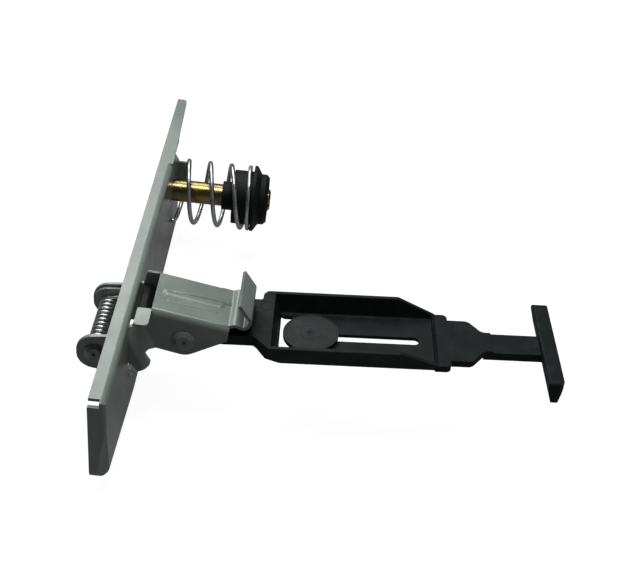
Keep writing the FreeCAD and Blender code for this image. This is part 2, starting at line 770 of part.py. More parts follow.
def striker_pin():
    """Shouldered pin with a threaded tail, a ring groove and a driver slot."""
    front, tail, chamfer = size.flange_depth, size.striker_tail, size.striker_chamfer
    radius, thread = size.striker_diameter / 2, size.thread_diameter / 2
    tip = front + size.striker_length
    groove = front + size.ring_groove_place
    groove_end = groove + size.ring_thickness
    inner = radius - size.ring_groove_depth
    profile = [(tail, 0), (tail, thread - chamfer), (tail + chamfer, thread), (front, thread),
               (front, radius), (groove, radius), (groove, inner), (groove_end, inner),
               (groove_end, radius), (tip - chamfer, radius), (tip, radius - chamfer), (tip, 0)]
    shank = turned("striker_turned", profile, Vector(), X, PLAN_VIEW)
    slot = box("striker_slot", "driver_slot_depth + 1", "striker_diameter + 2", "driver_slot",
               x=f"{tip - size.driver_slot_depth}", y="-striker_diameter / 2 - 1", z="-driver_slot / 2")
    place = Placement(Vector(0, size.striker_place, 0), Rotation())
    keep(cut("striker_slotted", shank, slot), "striker_pin", place)


def striker_nut():
    """Hexagon nut welded behind the web, on the striker's thread."""
    reach = size.nut_flats / math.sqrt(3)
    corners = [(reach * math.cos(turn * math.pi / 3), reach * math.sin(turn * math.pi / 3), 0)
               for turn in range(6)]
    blank = extrusion("nut_blank", corners, END_VIEW, X, "nut_height")
    bore = cylinder("nut_bore", "thread_diameter / 2 + thread_clearance / 2", "nut_height + 2", X, x="-1")
    place = Vector(size.flange_depth - size.sheet - size.nut_height, size.striker_place, 0)
    keep(cut("nut_bored", blank, bore), "striker_nut", Placement(place, Rotation()))


def striker_spring():
    """Compression spring with a closed coil at each end."""
    radius = (size.rim_diameter - size.coil_wire) / 2
    low = size.coil_wire / 2
    high = size.cup_start + size.sleeve_length + size.drum_length - low
    closed = size.coil_wire * 1.05
    ease = 0.35
    active = size.coil_turns - 2
    pitch = (high - low - 2 * closed) / active

    def height(turn):
        mirrored = min(turn, size.coil_turns - turn)
        if mirrored <= 1.0 - ease:
            rise = closed * mirrored
        elif mirrored < 1.0 + ease:
            share = (mirrored - 1.0 + ease) / (2 * ease)
            rise = closed * mirrored + (pitch - closed) * ease * share * share
        else:
            rise = closed + pitch * (mirrored - 1.0)
        return low + rise if turn <= size.coil_turns / 2 else high - rise

    curve = coil_curve(radius, size.coil_turns, height, math.radians(size.coil_start_angle))
    spring = sweep_wire("striker_spring", Part.Wire([curve.toShape()]), size.coil_wire / 2)
    place = Vector(size.flange_depth, size.striker_place, 0)
    keep(spring, "striker_spring", Placement(place, Rotation(Z, X)))


def spring_cup():
    """Black sleeve that slides on the striker and carries the spring's outer end."""
    start = size.flange_depth + size.cup_start
    drum = start + size.sleeve_length
    rim = drum + size.drum_length
    cone_start = rim + size.rim_length
    nose = cone_start + size.rim_cone
    end = nose + size.nose_length
    bore = size.striker_diameter / 2 + size.cup_clearance
    pocket = size.ring_diameter / 2 + size.ring_clearance
    floor = size.flange_depth + size.ring_groove_place - size.thread_clearance
    chamfer = size.nose_chamfer
    profile = [(start, bore), (start, size.sleeve_diameter / 2), (drum, size.sleeve_diameter / 2),
               (drum, size.drum_diameter / 2), (rim, size.drum_diameter / 2), (rim, size.rim_diameter / 2),
               (cone_start, size.rim_diameter / 2), (nose, size.nose_diameter / 2),
               (end - chamfer, size.nose_diameter / 2),
               (end, size.nose_diameter / 2 - chamfer), (end, pocket), (floor, pocket), (floor, bore)]
    cup = turned("cup_turned", profile, Vector(), X, PLAN_VIEW)
    keep(cup, "spring_cup", Placement(Vector(0, size.striker_place, 0), Rotation()))


def cup_ring():
    """Snap ring in the striker's groove, which holds the sleeve on."""
    inner = size.striker_diameter / 2 - size.ring_groove_depth
    place = f"flange_depth + {size.ring_groove_place}"
    disc = cylinder("ring_disc", "ring_diameter / 2", "ring_thickness", X, x=place, y="striker_place")
    bore = cylinder("ring_bore", f"{inner}", "ring_thickness + 2", X, x=f"{place} - 1", y="striker_place")
    gap = box("ring_gap", "ring_thickness + 2", "ring_opening", "ring_diameter", x=f"{place} - 1",
              y="striker_place - ring_opening / 2",
              z="-ring_diameter")
    keep(cut("ring_cut", disc, bore, gap), "cup_ring")


def pull_handle():
    """Moulded handle: ribbed neck, open tray with a slotted floor, stem and cross grip."""
    floor_top = size.neck_top + size.tray_depth
    under = floor_top + size.tray_floor
    half = size.tray_width / 2
    lap = size.deck_start - size.neck_thickness
    rib_bottom = size.neck_top + size.neck_thickness + size.rib_depth
    profile = [(lap, -size.neck_top, 0), (size.wall_drop_start, -size.neck_top, 3.0),
               (size.tray_end, -size.rear_top, 1.0), (size.tray_end, -under, 0),
               (size.tray_start + size.under_slope_end, -under, 2.0),
               (size.deck_start + size.under_slope_start, -rib_bottom, 2.0), (lap, -rib_bottom, 0)]
    side = extrusion("tray_side", profile, SIDE_VIEW, Y, "2 * tray_width", both_ways=True)
    section = extrusion("tray_section", draft_section(half, 0.0, under), END_VIEW, X, "2 * tray_end")
    deck, end, neck = size.deck_start, size.tray_end, NECK_WIDTH / 2
    rim = half + FACE_MARGIN / 2
    plan = [(lap, -neck, 0), (deck, -neck, 2.0), (deck + size.corner_slant, -rim, 3.0), (end, -rim, 2.6),
            (end, rim, 2.6), (deck + size.corner_step, rim, size.corner_round),
            (deck + size.corner_step, neck + size.deck_widening, 1.2), (lap, neck + size.deck_widening, 0)]
    seen_above = extrusion("tray_plan", plan, PLAN_VIEW, Z, "tray_width", z="-tray_width")
    outer = common("tray_outer", side, section, seen_above)
    mouth, mouth_end = size.tray_start + size.tray_wall, size.tray_end - size.tray_wall
    above = FACE_MARGIN - size.neck_top
    slanted = [(mouth, above, 0), (mouth, -size.neck_top, 0), (size.opening_start, -floor_top, 0),
               (mouth_end, -floor_top, 0), (mouth_end, above, 0)]
    hollow_side = extrusion("hollow_side", slanted, SIDE_VIEW, Y, "2 * tray_width", both_ways=True)
    drafted = draft_section(half - size.tray_wall, FACE_MARGIN, floor_top)
    hollow_section = extrusion("hollow_section", drafted, END_VIEW, X, "2 * tray_end")
    hollow = common("tray_hollow", hollow_side, hollow_section)
    opening = box("floor_opening", "opening_run", "opening_width", "tray_width", x="opening_start",
                  y="opening_shift - opening_width / 2", z="-tray_width")
    lead = size.opening_start + size.opening_run / 2
    slot_half = size.slot_width / 2
    slot_ends = [(size.slot_end, side * slot_half, slot_half * EAR_ROUND) for side in (-1, 1)]
    slot = extrusion("floor_slot", [(lead, -slot_half, 0), *slot_ends, (lead, slot_half, 0)],
                     PLAN_VIEW, Z, "tray_width", z="-tray_width")
    tray = cut("tray", outer, hollow, opening, slot)
    body = fuse("handle_body", tray, *handle_neck(), *handle_rear(), handle_grip())
    bore = cylinder("handle_bore", "spacer_diameter / 2 + spacer_clearance", "2 * hook_width", Y,
                    x="rivet_reach", y="-hook_width", z="-rivet_depth")
    keep(cut("handle_bored", body, bore), "pull_handle", HANDLE)


def draft_section(half, above, under):
    """End view of the tray, narrower at depth under than at the rim, and carried above the rim."""
    narrow = size.wall_draft / (size.tray_depth + size.tray_floor)
    low = half - narrow * (under - size.neck_top)
    high = half + narrow * above
    return [(-high, above - size.neck_top, 0), (-low, -under, 1.0), (low, -under, 1.0),
            (high, above - size.neck_top, 0)]


def handle_neck():
    """Ribbed neck inside the hook, its rivet boss and the heel in the hook's cut-out."""
    bottom = size.neck_top + size.neck_thickness + size.rib_depth
    heel = size.neck_start + size.heel_run
    half = NECK_WIDTH / 2
    plate = box("neck_plate", f"deck_start - {heel} + 2", f"{NECK_WIDTH}", "neck_thickness", x=f"{heel}",
                y=f"-{half}", z="-neck_top - neck_thickness")
    ribs = [box(f"neck_rib_{index}", f"deck_start - {heel} + 2", "rib_width", "neck_thickness + rib_depth",
                x=f"{heel}", y=f"{place}", z=f"-{bottom}")
            for index, place in enumerate((-half, half - size.rib_width))]
    heel_corners = [(size.neck_start, -bottom, 1.5), (size.neck_start, -size.heel_top, 1.0),
                    (heel, -size.heel_top, 1.2), (heel + size.heel_ramp, -size.neck_top, 0),
                    (heel + size.heel_ramp, -bottom, 1.0)]
    block = extrusion("heel", heel_corners, SIDE_VIEW, Y, f"{NECK_WIDTH}", both_ways=True)
    boss = cylinder("neck_boss", "boss_diameter / 2", f"{NECK_WIDTH}", Y, x="rivet_reach", y=f"-{half}",
                    z="-rivet_depth")
    boss_room = box("boss_room", "boss_diameter", f"{NECK_WIDTH}", "boss_diameter",
                    x="rivet_reach - boss_diameter / 2", y=f"-{half}", z="-neck_top - boss_diameter")
    return [plate, *ribs, block, common("neck_boss_trimmed", boss, boss_room)]


def handle_rear():
    """Shoulder plate behind the tray and the stem that runs to the grip."""
    under = size.neck_top + size.tray_depth + size.tray_floor
    half, wide, stem = size.rear_width / 2, size.collar_width / 2, size.stem_width / 2
    lap, collar_end = size.tray_end - size.tray_wall, size.tray_end + size.collar_run
    corner = size.shoulder_round
    finish = size.stem_start + corner
    near_side = [(lap, -half, 0), (size.rear_end, -half, corner), (size.stem_start, -stem, corner),
                 (finish, -stem, 0)]
    far_side = [(along, -across, radius) for along, across, radius in reversed(near_side)]
    thickness = f"{under - size.rear_top}"
    plate = extrusion("shoulder", near_side + far_side, PLAN_VIEW, Z, thickness, z=f"-{under}")
    collar = extrusion("collar", [(lap, -wide, 0), (collar_end, -wide, size.collar_corner),
                                  (collar_end, wide, size.collar_corner), (lap, wide, 0)],
                       PLAN_VIEW, Z, thickness, z=f"-{under}")
    rod = box("stem", "grip_start - stem_start + 2", "stem_width", "stem_thickness", x="stem_start",
              y="-stem_width / 2", z="-stem_top - stem_thickness")
    return [plate, collar, rod]


def handle_grip():
    """Cross grip, thick at the top and thin at the toe, with rounded ends."""
    start, end, edge = size.grip_start, size.grip_start + size.grip_run, size.grip_edge
    toe = (size.grip_run - size.grip_toe) / 2
    low = size.grip_top + size.grip_height
    shoulder = size.grip_top + size.grip_shoulder
    section = [(start, -size.grip_top, edge), (start, -shoulder, edge), (start + toe, -low, edge),
               (end - toe, -low, edge), (end, -shoulder, edge), (end, -size.grip_top, edge)]
    bar = extrusion("grip_bar", section, SIDE_VIEW, Y, "grip_width", both_ways=True)
    half = size.grip_width / 2
    face = [(-half, -size.grip_top, 3.0), (-half, -low, 2.0), (half, -low, 2.0), (half, -size.grip_top, 3.0)]
    mask = extrusion("grip_face", face, END_VIEW, X, "2 * grip_start")
    plan = [(start, -half, 0), (end, -half, size.grip_corner), (end, half, size.grip_corner),
            (start, half, 0)]
    ends = extrusion("grip_plan", plan, PLAN_VIEW, Z, "grip_width", z="-grip_width")
    return common("grip", bar, mask, ends)


def handle_spacer():
    """Steel tube round the rivet, on which the handle turns."""
    length = size.hook_width - 2 * size.sheet
    tube = handle_axis_cylinder("spacer_tube", "spacer_diameter / 2", f"{length}", -length / 2)
    bore = handle_axis_cylinder("spacer_bore", "rivet_diameter / 2 + pivot_clearance", f"{length + 2}",
                                -length / 2 - 1)
    keep(cut("spacer_bored", tube, bore), "handle_spacer")


def handle_rivet():
    """Rivet through the hook's flanges, on which the handle's spacer tube sits."""
    pin = rivet("rivet_turned", size.hook_width / 2, size.rivet_diameter, size.rivet_head,
                size.rivet_head_height, size.rivet_crown, size.rivet_dimple)
    keep(pin, "handle_rivet", Placement(HANDLE.multVec(RIVET), HANDLE_TURN))


def guide_button():
    """Flat disc over the tray's slot, with a foot in the slot and a headed spigot below it."""
    floor_top = size.neck_top + size.tray_depth
    seat = floor_top - size.button_clearance
    shoulder = floor_top + size.tray_floor + size.button_clearance
    disc = cylinder("button_disc", "disc_diameter / 2", "disc_thickness", Z, x="button_place",
                    z=f"-{seat}")
    dimple = cone("button_dimple", "dimple_diameter / 8", "dimple_diameter / 2", "dimple_depth", Z,
                  x="button_place", z=f"disc_thickness - dimple_depth - {seat}")
    foot = box("button_foot", "foot_run", "slot_width - 2 * button_clearance", f"{shoulder - seat}",
               x="button_place - foot_run / 2", y="button_clearance - slot_width / 2",
               z=f"-{shoulder}")
    spigot = cylinder("button_spigot", "spigot_diameter / 2", "clip_thickness + spigot_head_height", Z,
                      x="button_place", z=f"-{shoulder} - clip_thickness - spigot_head_height")
    head = cone("button_head", "spigot_diameter / 2", "spigot_head / 2", "spigot_head_height", Z,
                x="button_place", z=f"-{shoulder} - clip_thickness - spigot_head_height")
    keep(cut("button_whole", fuse("button_body", disc, foot, spigot, head), dimple), "guide_button", HANDLE)


def button_clip():
    """Round clip snapped on the button's spigot below the tray floor."""
    shoulder = size.neck_top + size.tray_depth + size.tray_floor + size.button_clearance
    disc = cylinder("clip_disc", "clip_diameter / 2", "clip_thickness", Z, x="button_place",
                    z=f"-{shoulder} - clip_thickness")
    bore = cylinder("clip_bore", "spigot_diameter / 2 + 0.1", "clip_thickness + 2", Z, x="button_place",
                    z=f"-{shoulder} - clip_thickness - 1")
    keep(cut("clip_bored", disc, bore), "button_clip", HANDLE)


def write_parts():
    """Check every object and sub-part, then write one STEP file for each sub-part."""
    doc.recompute()
    failed = [item.Name for item in doc.Objects if {"Invalid", "Error"} & set(item.State)]
    bad = [item.Label for item in sub_parts if item.Shape.isNull() or not item.Shape.isValid()
           or not item.Shape.Solids]
    if failed or bad:
        raise RuntimeError(f"failed objects {failed}, bad sub-parts {bad}")
    os.makedirs("parts", exist_ok=True)
    for item in sub_parts:
        item.Shape.exportStep(os.path.join("parts", item.Label + ".step"))
        print(f"{item.Label:16s} solids {len(item.Shape.Solids)} volume {item.Shape.Volume:9.1f}")


mounting_plate()
mount_spacer()
hook_lever()
pivot_pin()
torsion_spring()
striker_pin()
striker_nut()
striker_spring()
spring_cup()
cup_ring()
pull_handle()
handle_spacer()
handle_rivet()
guide_button()
button_clip()
write_parts()
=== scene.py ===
"""Looks of a hood latch: glossy paint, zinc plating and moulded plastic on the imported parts.

Everything is in metres in the part's own frame: X points the way the striker points, Y runs
along the plate and Z is up. The origin is midway between the bolt holes.
"""
import json
import logging
import math
from collections.abc import Callable, Sequence
from dataclasses import dataclass
from enum import Enum

import bmesh
import bpy
import numpy as np
from mathutils import Matrix, Vector


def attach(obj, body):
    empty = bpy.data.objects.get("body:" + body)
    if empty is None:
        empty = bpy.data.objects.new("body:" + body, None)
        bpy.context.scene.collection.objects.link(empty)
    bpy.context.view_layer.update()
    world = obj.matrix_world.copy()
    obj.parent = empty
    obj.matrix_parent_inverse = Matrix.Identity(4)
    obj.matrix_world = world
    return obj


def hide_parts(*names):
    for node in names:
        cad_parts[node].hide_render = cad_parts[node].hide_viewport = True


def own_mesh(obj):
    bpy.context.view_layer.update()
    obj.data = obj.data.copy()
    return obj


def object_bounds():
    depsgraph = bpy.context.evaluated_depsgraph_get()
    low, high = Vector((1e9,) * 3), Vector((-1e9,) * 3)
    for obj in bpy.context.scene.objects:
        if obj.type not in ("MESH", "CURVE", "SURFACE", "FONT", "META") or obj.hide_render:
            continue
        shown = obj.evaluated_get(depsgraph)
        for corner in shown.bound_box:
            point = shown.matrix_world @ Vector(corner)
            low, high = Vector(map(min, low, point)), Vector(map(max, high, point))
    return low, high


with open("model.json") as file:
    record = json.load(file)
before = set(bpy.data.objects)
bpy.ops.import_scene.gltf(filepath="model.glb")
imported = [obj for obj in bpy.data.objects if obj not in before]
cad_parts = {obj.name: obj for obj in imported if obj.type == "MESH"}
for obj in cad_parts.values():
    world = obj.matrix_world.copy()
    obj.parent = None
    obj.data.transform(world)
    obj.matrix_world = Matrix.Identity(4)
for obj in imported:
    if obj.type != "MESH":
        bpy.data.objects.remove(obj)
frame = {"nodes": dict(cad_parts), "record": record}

LOG = logging.getLogger("hood_latch")
CAD_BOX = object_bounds()
MM = 0.001
WHITE = (1.0, 1.0, 1.0, 1.0)

Colour = tuple[float, float, float]
Point = tuple[float, float, float]
Span = tuple[float, float]
Socket = bpy.types.NodeSocket


class Body(Enum):
    """The rigid bodies of the latch, by their names in the record."""

    PLATE = "plate"
    HOOK = "hook"
    HANDLE = "handle"
    BUTTON = "button"
    CUP = "cup"


class Slot(Enum):
    """The record's material slots."""

    PAINT = "paint"
    ZINC = "zinc"
    YELLOW_ZINC = "yellow_zinc"
    PLASTIC = "plastic"


@dataclass(frozen=True)
class Noise:
    """Fractal noise over Object coordinates, and the band of its values that counts.

    Attributes:
        scale: waves per metre.
        band: the value where its effect starts and the one where it is full.
        detail: how many octaves.
        roughness: how strong the finer octaves are.
        stretch: stretch of the coordinates along each axis.
        turn: rotation of the coordinates about each axis, in radians.
    """

    scale: float
    band: Span = (0.0, 1.0)
    detail: float = 3.0
    roughness: float = 0.5
    stretch: Point = (1.0, 1.0, 1.0)
    turn: Point = (0.0, 0.0, 0.0)


def fill(node: bpy.types.Node, **values: float | tuple[float, ...]) -> None:
    """Set a node's own sockets by name, an underscore standing for a space."""
    for name, value in values.items():
        node.inputs[name.replace("_", " ")].default_value = value


class NodeTree:
    """A short way to write a material's nodes."""

    def __init__(self, name: str) -> None:
        """Make an empty material with a Principled shader.

        Args:
            name: the material's name.
        """
        self.material = bpy.data.materials.new(name)
        self.material.use_nodes = True
        self.tree = self.material.node_tree
        self.tree.nodes.clear()
        output = self.add("OutputMaterial")
        self.shader = self.add("BsdfPrincipled")
        self.link(self.shader.outputs["BSDF"], output.inputs["Surface"])

    def link(self, source: Socket, target: Socket) -> None:
        """Join two sockets."""
        self.tree.links.new(source, target)

    def add(self, kind: str, **settings: object) -> bpy.types.Node:
        """Add a node and set its properties.

        Args:
            kind: the node's type name, without its ShaderNode prefix.
            settings: properties of the node, by name.

        Returns:
            The new node.
        """
        node = self.tree.nodes.new("ShaderNode" + kind)
        for name, value in settings.items():
            setattr(node, name, value)
        return node

    def noise(self, noise: Noise) -> Socket:
        """Add a noise texture on Object coordinates.

        Args:
            noise: its scale, octaves and coordinates.

        Returns:
            The noise's factor socket.
        """
        coordinates = self.add("TexCoord")
        mapping = self.add("Mapping")
        fill(mapping, Scale=noise.stretch, Rotation=noise.turn)
        self.link(coordinates.outputs["Object"], mapping.inputs["Vector"])
        texture = self.add("TexNoise")
        fill(texture, Scale=noise.scale, Detail=noise.detail, Roughness=noise.roughness)
        self.link(mapping.outputs["Vector"], texture.inputs["Vector"])
        return texture.outputs["Fac"]

    def spread(self, noise: Noise, least: float, most: float) -> Socket:
        """Carry a noise's band onto the range from least to most, clamped.

        Args:
            noise: the noise and its band.
            least: the result where the band starts.
            most: the result where it ends.

        Returns:
            The resulting socket.
        """
        low, high = noise.band
        mapped = self.add("MapRange")
        fill(mapped, From_Min=low, From_Max=high, To_Min=least, To_Max=most)
        self.link(self.noise(noise), mapped.inputs["Value"])
        return mapped.outputs["Result"]

    def blend(self, factor: Socket, first: Socket | Colour, second: Socket | Colour) -> Socket:
        """Mix two colours by a factor.

        Args:
            factor: 0 gives the first and 1 the second.
            first: a colour or a colour socket.
            second: a colour or a colour socket.

        Returns:
            The mixed colour's socket.
        """
        mixer = self.add("Mix", data_type="RGBA")
        self.link(factor, mixer.inputs["Factor"])
        for name, value in (("A", first), ("B", second)):
            socket = next(item for item in mixer.inputs if item.name == name and item.type == "RGBA")
            if isinstance(value, tuple):
                socket.default_value = (*value, 1.0)
            else:
                self.link(value, socket)
        return next(item for item in mixer.outputs if item.type == "RGBA")

    def colour(self, ground: Colour, layers: Sequence[tuple[Noise, float, Colour]]) -> None:
        """Colour the shader: a ground with other colours laid over it, each by its noise.

        Args:
            ground: the colour underneath.
            layers: each layer's noise, its full strength and its colour.
        """
        result = ground
        for noise, strength, shade in layers:
            result = self.blend(self.spread(noise, 0.0, strength), result, shade)
        self.link(result, self.shader.inputs["Base Color"])

    def shine(self, noise: Noise, roughness: Span) -> None:
        """Let the shader's roughness follow a noise over the given span."""
        self.link(self.spread(noise, *roughness), self.shader.inputs["Roughness"])

    def bump(self, heights: Sequence[tuple[Noise, float]]) -> None:
        """Stack bumps under the shader.

        Args:
            heights: each bump's noise and its depth in metres.
        """
        normal = None
        for noise, depth in heights:
            node = self.add("Bump")
            fill(node, Distance=depth)
            self.link(self.noise(noise), node.inputs["Height"])
            if normal is not None:
                self.link(normal, node.inputs["Normal"])
            normal = node.outputs["Normal"]
        self.link(normal, self.shader.inputs["Normal"])


@dataclass(frozen=True)
class GlossPaint:
    """Grey-green gloss paint on pressed steel, with orange peel, faint mottling and painted reflection
    streaks along the plate.

    Attributes:
        deep: the colour where the coat is thickest.
        colour: the colour of the rest.
        painted_reflection: the lighter colour of the painted reflection streaks, which stand for the gloss
            mirroring light along the plate.
        mottle: how the first two colours mix.
        painted_reflection_streaks: where the painted reflections lie, drawn out along the plate.
        painted_reflection_strength: how much of the painted reflections' colour shows.
        polish: where it is duller.
        roughness: its least and its most.
        peel: the orange peel.
        peel_depth: the orange peel's depth, in metres.
        coat: the clear coat's weight.
        coat_roughness: the clear coat's roughness.
        ior: the paint's index of refraction.
    """

    deep: Colour = (0.215, 0.258, 0.236)
    colour: Colour = (0.285, 0.335, 0.305)
    # Pale streaks drawn out along the plate: painted reflections of light in the gloss, not rubbed paint.
    painted_reflection: Colour = (0.50, 0.54, 0.51)
    mottle: Noise = Noise(34.0, (0.35, 0.68), 4.0, 0.55)
    painted_reflection_streaks: Noise = Noise(260.0, (0.70, 0.80), 6.0, 0.7, stretch=(1.0, 0.12, 1.0))
    painted_reflection_strength: float = 0.4
    polish: Noise = Noise(90.0, (0.3, 0.7), 4.0, 0.6)
    roughness: Span = (0.25, 0.40)
    peel: Noise = Noise(620.0, detail=2.0)
    peel_depth: float = 0.05 * MM
    coat: float = 0.5
    coat_roughness: float = 0.2
    ior: float = 1.45

    def material(self) -> bpy.types.Material:
        """Mix the paint.

        Returns:
            The finished material.
        """
        nodes = NodeTree("gloss_paint")
        # The second layer paints reflection streaks along the plate into the colour.
        layers = ((self.mottle, 1.0, self.colour), (self.painted_reflection_streaks, self.painted_reflection_strength, self.painted_reflection))
        nodes.colour(self.deep, layers)
        nodes.shine(self.polish, self.roughness)
        fill(nodes.shader, Coat_Weight=self.coat, Coat_Roughness=self.coat_roughness, IOR=self.ior)
        nodes.bump([(self.peel, self.peel_depth)])
        return nodes.material


@dataclass(frozen=True)
class BrightZinc:
    """Bright zinc plating, with the drawn wire's faint grain and patches of dullness.

    Attributes:
        name: the material's name.
        colour: the bright plating.
        dull: the plating in the patches.
        roughness: its least and its most.
        patches: where it is dull.
        polish: where it is rougher.
        grain: the wire's grain.
        grain_depth: the grain's depth, in metres.
    """

    name: str = "bright_zinc"
    colour: Colour = (0.68, 0.70, 0.70)
    dull: Colour = (0.46, 0.48, 0.48)
    roughness: Span = (0.25, 0.45)
    patches: Noise = Noise(320.0, (0.35, 0.7), 4.0, 0.6)
    polish: Noise = Noise(192.0, (0.3, 0.7))
    grain: Noise = Noise(2600.0, detail=2.0)
    grain_depth: float = 0.004 * MM

    def material(self) -> bpy.types.Material:
        """Plate the steel.

        Returns:
            The finished material.
        """
        nodes = NodeTree(self.name)
        nodes.colour(self.colour, [(self.patches, 1.0, self.dull)])
        nodes.shine(self.polish, self.roughness)
        fill(nodes.shader, Metallic=1.0)
        nodes.bump([(self.grain, self.grain_depth)])
        return nodes.material


@dataclass(frozen=True)
class YellowZinc:
    """Yellow passivated zinc, gold with faint pink and green clouds.

    Attributes:
        gold: most of its colour.
        rose: the pink clouds.
        green: the green hints.
        clouds: where it is pink.
        hints: where it is green.
        hint_strength: how much of the green shows.
        polish: where it is rougher.
        roughness: its least and its most.
        turning: the fine marks round the turned pin.
        turning_depth: the marks' depth, in metres.
    """

    gold: Colour = (0.34, 0.27, 0.09)
    rose: Colour = (0.34, 0.20, 0.16)
    green: Colour = (0.19, 0.21, 0.08)
    clouds: Noise = Noise(120.0, (0.38, 0.66))
    hints: Noise = Noise(75.0, (0.52, 0.72), 2.0, turn=(0.6, 0.2, 0.9))
    hint_strength: float = 0.7
    polish: Noise = Noise(400.0, (0.3, 0.7))
    roughness: Span = (0.17, 0.34)
    turning: Noise = Noise(60.0, detail=1.0, roughness=0.4, stretch=(120.0, 0.4, 0.4))
    turning_depth: float = 0.02 * MM

    def material(self) -> bpy.types.Material:
        """Passivate the zinc.

        Returns:
            The finished material.
        """
        nodes = NodeTree("yellow_zinc")
        layers = ((self.clouds, 1.0, self.rose), (self.hints, self.hint_strength, self.green))
        nodes.colour(self.gold, layers)
        nodes.shine(self.polish, self.roughness)
        fill(nodes.shader, Metallic=1.0)
        nodes.bump([(self.turning, self.turning_depth)])
        return nodes.material


@dataclass(frozen=True)
class MouldedPlastic:
    """Black moulded plastic with a fine grain, flow marks and rubbed patches.

    Attributes:
        name: the material's name.
        colour: the plastic as moulded.
        rubbed: the plastic where it is rubbed pale.
        roughness: its least and its most.
        rub: where it is rubbed.
        rub_strength: how much of the rubbed colour shows.
        polish: where it is rougher.
        flow: the flow marks.
        flow_depth: the flow marks' depth, in metres.
        grain: the mould's grain.
        grain_depth: the grain's depth, in metres.
        ior: the plastic's index of refraction.
        specular: the shader's specular level.
    """

    name: str = "moulded_plastic"
    colour: Colour = (0.007, 0.0102, 0.0102)
    rubbed: Colour = (0.020, 0.027, 0.026)
    roughness: Span = (0.46, 0.70)
    rub: Noise = Noise(95.0, (0.48, 0.78), 5.0, 0.62)
    rub_strength: float = 0.8
    polish: Noise = Noise(60.0, (0.3, 0.72), 4.0, 0.6)
    flow: Noise = Noise(38.0, detail=2.0)
    flow_depth: float = 0.25 * MM
    grain: Noise = Noise(2400.0, detail=2.0)
    grain_depth: float = 0.02 * MM
    ior: float = 1.45
    specular: float = 0.22

    def material(self) -> bpy.types.Material:
        """Mould the plastic.

        Returns:
            The finished material.
        """
        nodes = NodeTree(self.name)
        nodes.colour(self.colour, [(self.rub, self.rub_strength, self.rubbed)])
        nodes.shine(self.polish, self.roughness)
        fill(nodes.shader, IOR=self.ior, Specular_IOR_Level=self.specular)
        nodes.bump([(self.flow, self.flow_depth), (self.grain, self.grain_depth)])
        return nodes.material


def dress(node: str, material: bpy.types.Material) -> None:
    """Give a carried-over CAD node its finish.

    Args:
        node: the node's name.
        material: what covers all of it.
    """
    target = frame["nodes"][node]
    target.data.materials.clear()
    target.data.materials.append(material)
    LOG.info("%s: %s", node, material.name)


def rework(mesh: bpy.types.Mesh, change: Callable[[bmesh.types.BMesh], object]) -> None:
    """Change a mesh in place with one of the mesh tools.

    Args:
        mesh: what is changed.
        change: the edit, which gets the mesh's editable form.
    """
    shell = bmesh.new()
    shell.from_mesh(mesh)
    change(shell)
    shell.to_mesh(mesh)
    shell.free()


def closed_mesh(name: str, points: np.ndarray, faces: list[list[int]]) -> bpy.types.Mesh:
    """Make a mesh from points and faces, with every face turned outwards.

    Args:
        name: the mesh's name.
        points: metres, the last axis holding x, y and z.
        faces: each face's corners, by their places in the flattened points.

    Returns:
        The new mesh.
    """
    mesh = bpy.data.meshes.new(name)
    mesh.from_pydata(points.reshape(-1, 3).tolist(), [], faces)
    rework(mesh, lambda shell: bmesh.ops.recalc_face_normals(shell, faces=shell.faces[:]))
    return mesh


def smooth(mesh: bpy.types.Mesh) -> None:
    """Shade every face of a mesh smooth."""
    mesh.polygons.foreach_set("use_smooth", np.ones(len(mesh.polygons), dtype=bool))


def stand(name: str, data: bpy.types.ID) -> bpy.types.Object:
    """Put an object that holds the data at the origin of the scene.

    Args:
        name: the object's name.
        data: its mesh, lamp or camera.

    Returns:
        The new object.
    """
    thing = bpy.data.objects.new(name, data)
    bpy.context.scene.collection.objects.link(thing)
    return thing


def join_in(piece: bpy.types.Object, body: Body, material: bpy.types.Material) -> None:
    """Dress a new piece and let it ride on its body.

    Args:
        piece: the piece, a mesh object.
        body: what it moves with.
        material: its finish.
    """
    piece.data.materials.clear()
    piece.data.materials.append(material)
    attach(piece, body.value)
    LOG.info("%s: %d faces on %s", piece.name, len(piece.data.polygons), body.value)


def lay(name: str, points: np.ndarray, rows_join: bool, body: Body,
        material: bpy.types.Material) -> bpy.types.Object:
    """Put a grid of points into a mesh, and let the piece ride on its body.

    The point at row i and column j joins its neighbours at i + 1 and j + 1. The columns always
    wrap round. Rows that don't wrap get a cap at each end, so that every piece is a closed skin.

    Args:
        name: the piece's name.
        points: metres, shaped rows, columns, 3.
        rows_join: whether the last row joins the first.
        body: what it moves with.
        material: its finish.

    Returns:
        The new object.
    """
    rows, columns = points.shape[:2]
    index = np.arange(rows * columns).reshape(rows, columns)
    caps = [] if rows_join else [index[0, ::-1].tolist(), index[-1].tolist()]
    if rows_join:
        index = np.vstack((index, index[:1]))
    index = np.hstack((index, index[:, :1]))
    quads = np.stack((index[:-1, :-1], index[1:, :-1], index[1:, 1:], index[:-1, 1:]), axis=-1)
    mesh = closed_mesh(name, points, quads.reshape(-1, 4).tolist() + caps)
    smooth(mesh)
    piece = stand(name, mesh)
    join_in(piece, body, material)
    return piece


def turned_ring(centre: Point, radii: np.ndarray, heights: np.ndarray, sides: int = 72) -> np.ndarray:
    """Turn a closed outline of (radius, height) points once round an upright axis.

    Each point is the centre plus (radius cos a, radius sin a, height), with a from 0 to a full turn.

    Args:
        centre: the axis and the level of height zero, in metres.
        radii: the outline's radii, in metres.
        heights: the outline's heights, in metres.
        sides: how many steps make the turn.

    Returns:
        Points shaped sides, outline points, 3.
    """
    angle = np.linspace(0.0, 2.0 * np.pi, sides, endpoint=False)[:, None]
    level = np.broadcast_to(heights, (sides, len(radii)))
    ring = np.stack((np.cos(angle) * radii, np.sin(angle) * radii, level), axis=-1)
    return ring + np.asarray(centre)


